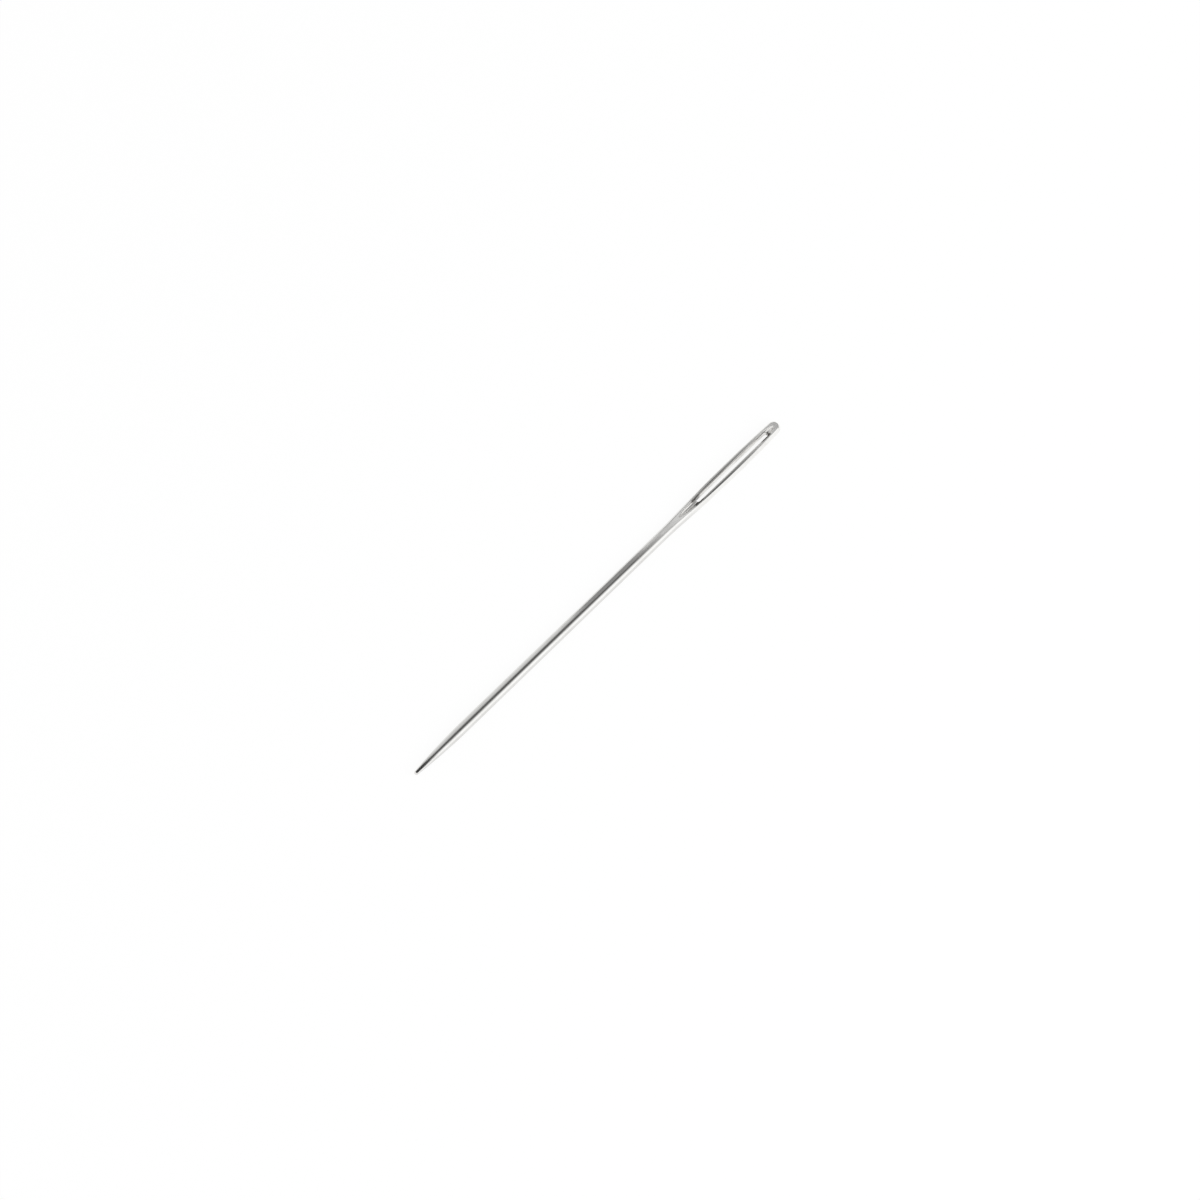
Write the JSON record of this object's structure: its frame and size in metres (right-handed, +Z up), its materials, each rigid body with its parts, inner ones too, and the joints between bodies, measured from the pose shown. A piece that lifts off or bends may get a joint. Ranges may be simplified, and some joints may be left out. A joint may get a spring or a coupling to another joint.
{
  "type": "yarn needle",
  "caption": "Straight steel needle for yarn, with a blunt rounded point, a parallel round shank and a long slotted eye pressed flat, with gutters at both ends of the slot.",
  "frame": {"origin": "middle of the needle's length and width, on the surface that the lying shank rests on", "axes": "+X along the needle from its point to its head, +Z up, square to the flats of the eye; the eye's two sides are at +Y and -Y"},
  "size_m": [0.07, 0.0022, 0.0015],
  "materials": {
    "plated_steel": "polished"
  },
  "bodies": {
    "root": {"needle": "plated_steel"}
  },
  "joints": []
}
